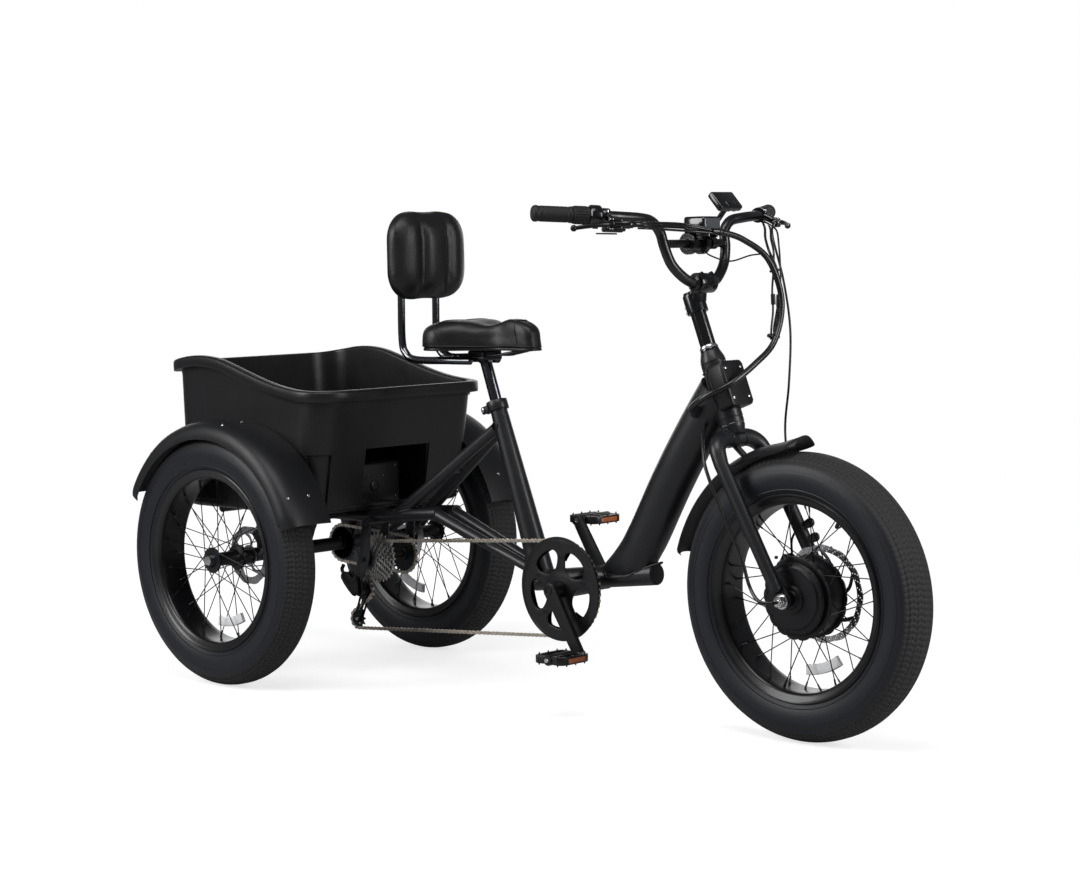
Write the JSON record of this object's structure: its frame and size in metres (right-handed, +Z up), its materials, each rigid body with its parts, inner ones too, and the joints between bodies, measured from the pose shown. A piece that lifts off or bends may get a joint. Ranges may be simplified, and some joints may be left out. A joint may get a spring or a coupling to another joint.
{
  "type": "electric cargo tricycle",
  "caption": "Step-through cargo tricycle with a hub motor in the fork, wide tyres, a deep tub over the rear axle, chain drive with derailleur, and a saddle with a backrest.",
  "frame": {"origin": "on the ground, midway between the front axle and the rear axle, on the centre plane", "axes": "+X forward, +Y to the rider's left, +Z up"},
  "size_m": [2.042, 0.774, 1.12],
  "materials": {
    "frame_paint": "satin dark blue-black paint",
    "black_plastic": "satin",
    "tub_plastic": "satin, fine grain",
    "steel": "brushed",
    "motor_black": "satin black",
    "chain_nickel": "brown nickel plate, oiled",
    "cable_sheath": "matte black",
    "gloss_black": "gloss black",
    "grip_rubber": "matte",
    "tyre_rubber": "matte, moulded tread",
    "rim_black": "satin black",
    "dark_steel": "dark, satin",
    "seat_vinyl": "soft black vinyl"
  },
  "bodies": {
    "frame": {"main_frame": "frame_paint", "rear_frame": "frame_paint", "head_cover": "black_plastic", "seat_clamp": "frame_paint", "cargo_tub": "tub_plastic", "battery_pack": "black_plastic", "motor_controller": "steel", "rear_fender_right": "tub_plastic", "rear_fender_left": "tub_plastic", "rear_caliper_right": "motor_black", "rear_caliper_left": "motor_black", "main_chain": "chain_nickel", "drive_chain": "chain_nickel", "cable_harness": "cable_sheath", "motor_cable": "cable_sheath"},
    "steering_assembly": {"fork": "frame_paint", "handlebar_riser": "gloss_black", "stem": "black_plastic", "handlebar": "frame_paint", "grip_right": "grip_rubber", "grip_left": "grip_rubber", "throttle_housing": "black_plastic", "lever_mount_right": "black_plastic", "lever_mount_left": "black_plastic", "display": "black_plastic", "headlight": "gloss_black", "front_fender": "black_plastic", "front_caliper": "motor_black", "front_axle": "steel", "front_brake_hose": "cable_sheath"},
    "front_wheel": {"front_tyre": "tyre_rubber", "front_rim": "rim_black", "hub_motor": "motor_black"},
    "throttle": {"throttle_grip": "grip_rubber"},
    "lever_right": {"brake_lever_right": "dark_steel"},
    "lever_left": {"brake_lever_left": "dark_steel"},
    "shifter": {"shift_lever": "black_plastic"},
    "rear_wheel_right": {"rear_tyre_right": "tyre_rubber", "rear_rim_right": "rim_black", "rear_hub_right": "motor_black", "live_axle": "dark_steel"},
    "rear_wheel_left": {"rear_tyre_left": "tyre_rubber", "rear_rim_left": "rim_black", "rear_hub_left": "motor_black"},
    "cranks": {"crank_right": "motor_black", "chainring": "motor_black", "crank_left": "motor_black"},
    "pedal_body_right": {"pedal_right": "black_plastic"},
    "pedal_body_left": {"pedal_left": "black_plastic"},
    "cogs": {"cassette": "steel"},
    "countershaft": {"jackshaft": "dark_steel"},
    "derailleur": {"derailleur_body": "dark_steel"},
    "cage": {"derailleur_cage": "dark_steel"},
    "guide_wheel": {"guide_pulley": "black_plastic"},
    "tension_wheel": {"tension_pulley": "black_plastic"},
    "seat": {"seatpost": "gloss_black", "saddle_rails": "dark_steel", "saddle": "seat_vinyl", "backrest_frame": "gloss_black", "backrest_pad": "seat_vinyl"}
  },
  "joints": [
    {"name": "steering_turn", "type": "hinge", "parent": "frame", "child": "steering_assembly", "pos_m": [0.4825, 0, 0.787], "axis": [-0.3584, 0, 0.9336], "range_deg": [-40, 40], "deforming": ["cable_harness", "motor_cable"]},
    {"name": "front_wheel_turn", "type": "hinge", "parent": "steering_assembly", "child": "front_wheel", "pos_m": [0.726, 0, 0.295], "axis": [0, 1, 0], "continuous": true},
    {"name": "throttle_turn", "type": "hinge", "parent": "steering_assembly", "child": "throttle", "pos_m": [0.38215, -0.30819, 1.0739], "axis": [0.4993, 0.8648, -0.0523], "range_deg": [-60, 0], "stiffness_Nm_per_rad": 0.3},
    {"name": "brake_lever_right_turn", "type": "hinge", "parent": "steering_assembly", "child": "lever_right", "pos_m": [0.45252, -0.2663, 1.05414], "axis": [0.0261, 0.0453, 0.9986], "range_deg": [-15, 0], "stiffness_Nm_per_rad": 2},
    {"name": "brake_lever_left_turn", "type": "hinge", "parent": "steering_assembly", "child": "lever_left", "pos_m": [0.45252, 0.2663, 1.05414], "axis": [0.0261, -0.0453, 0.9986], "range_deg": [0, 15], "stiffness_Nm_per_rad": 2},
    {"name": "shift_lever_turn", "type": "hinge", "parent": "steering_assembly", "child": "shifter", "pos_m": [0.42198, -0.2312, 1.03653], "axis": [0.0261, 0.0453, 0.9986], "range_deg": [0, 25], "stiffness_Nm_per_rad": 0.4},
    {"name": "rear_wheel_right_turn", "type": "hinge", "parent": "frame", "child": "rear_wheel_right", "pos_m": [-0.726, -0.3285, 0.295], "axis": [0, 1, 0], "continuous": true, "deforming": ["drive_chain"]},
    {"name": "rear_wheel_left_turn", "type": "hinge", "parent": "frame", "child": "rear_wheel_left", "pos_m": [-0.726, 0.3285, 0.295], "axis": [0, 1, 0], "continuous": true},
    {"name": "cranks_turn", "type": "hinge", "parent": "frame", "child": "cranks", "pos_m": [0.1, 0, 0.264], "axis": [0, 1, 0], "continuous": true, "deforming": ["main_chain"]},
    {"name": "pedal_right_turn", "type": "hinge", "parent": "cranks", "child": "pedal_body_right", "pos_m": [0.18214, 0, 0.13255], "axis": [0, 1, 0], "continuous": true},
    {"name": "pedal_left_turn", "type": "hinge", "parent": "cranks", "child": "pedal_body_left", "pos_m": [0.01786, 0, 0.39545], "axis": [0, 1, 0], "continuous": true},
    {"name": "cassette_turn", "type": "hinge", "parent": "frame", "child": "cogs", "pos_m": [-0.51038, 0, 0.284], "axis": [0, 1, 0], "continuous": true, "deforming": ["main_chain"]},
    {"name": "jackshaft_turn", "type": "hinge", "parent": "frame", "child": "countershaft", "pos_m": [-0.51038, 0, 0.284], "axis": [0, 1, 0], "continuous": true, "deforming": ["drive_chain"]},
    {"name": "derailleur_shift", "type": "slide", "parent": "frame", "child": "derailleur", "axis": [0, 1, 0], "range_m": [-0.015, 0.015], "deforming": ["main_chain"]},
    {"name": "cage_swing", "type": "hinge", "parent": "derailleur", "child": "cage", "pos_m": [-0.54038, 0, 0.205], "axis": [0, 1, 0], "range_deg": [-12, 18], "stiffness_Nm_per_rad": 1.5, "deforming": ["main_chain"]},
    {"name": "guide_pulley_turn", "type": "hinge", "parent": "cage", "child": "guide_wheel", "pos_m": [-0.54038, 0, 0.205], "axis": [0, 1, 0], "continuous": true, "deforming": ["main_chain"]},
    {"name": "tension_pulley_turn", "type": "hinge", "parent": "cage", "child": "tension_wheel", "pos_m": [-0.56933, 0, 0.13419], "axis": [0, 1, 0], "continuous": true, "deforming": ["main_chain"]},
    {"name": "seatpost_slide", "type": "slide", "parent": "frame", "child": "seat", "axis": [-0.3296, 0, 0.9441], "range_m": [-0.04, 0.08]}
  ],
  "couplings": [
    {"joint": "cassette_turn", "follows": "cranks_turn", "ratio": 2.6},
    {"joint": "guide_pulley_turn", "follows": "cranks_turn", "ratio": -4.7273},
    {"joint": "tension_pulley_turn", "follows": "cranks_turn", "ratio": 4.7273},
    {"joint": "jackshaft_turn", "follows": "rear_wheel_right_turn", "ratio": 1}
  ]
}
